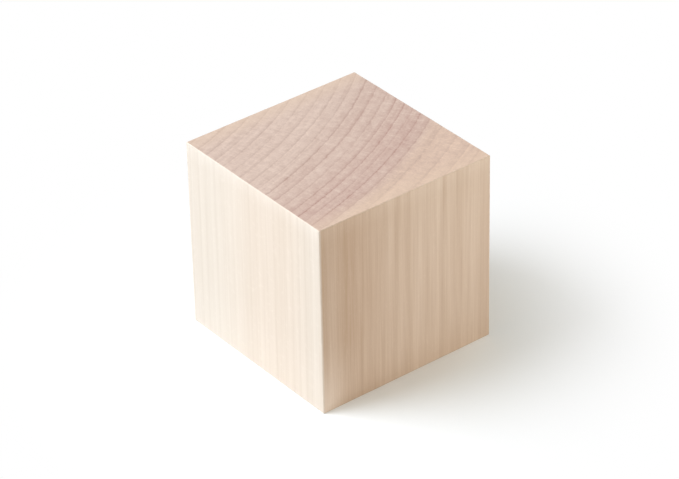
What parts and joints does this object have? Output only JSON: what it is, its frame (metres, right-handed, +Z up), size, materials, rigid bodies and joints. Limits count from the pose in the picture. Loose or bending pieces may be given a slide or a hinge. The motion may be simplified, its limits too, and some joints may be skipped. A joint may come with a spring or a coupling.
{
  "type": "wooden cube",
  "caption": "Plain solid hardwood cube with lightly rounded edges, its grain upright and its end grain on the top and bottom.",
  "frame": {"origin": "centre of the bottom face, which the cube rests on", "axes": "+Z up along the grain and out of the upper end-grain face, +X and +Y out of two of the side-grain faces"},
  "size_m": [0.0508, 0.0508, 0.0508],
  "materials": {
    "bare_wood": "planed and sanded, unfinished, matt"
  },
  "bodies": {
    "root": {"wooden_cube": "bare_wood"}
  },
  "joints": []
}
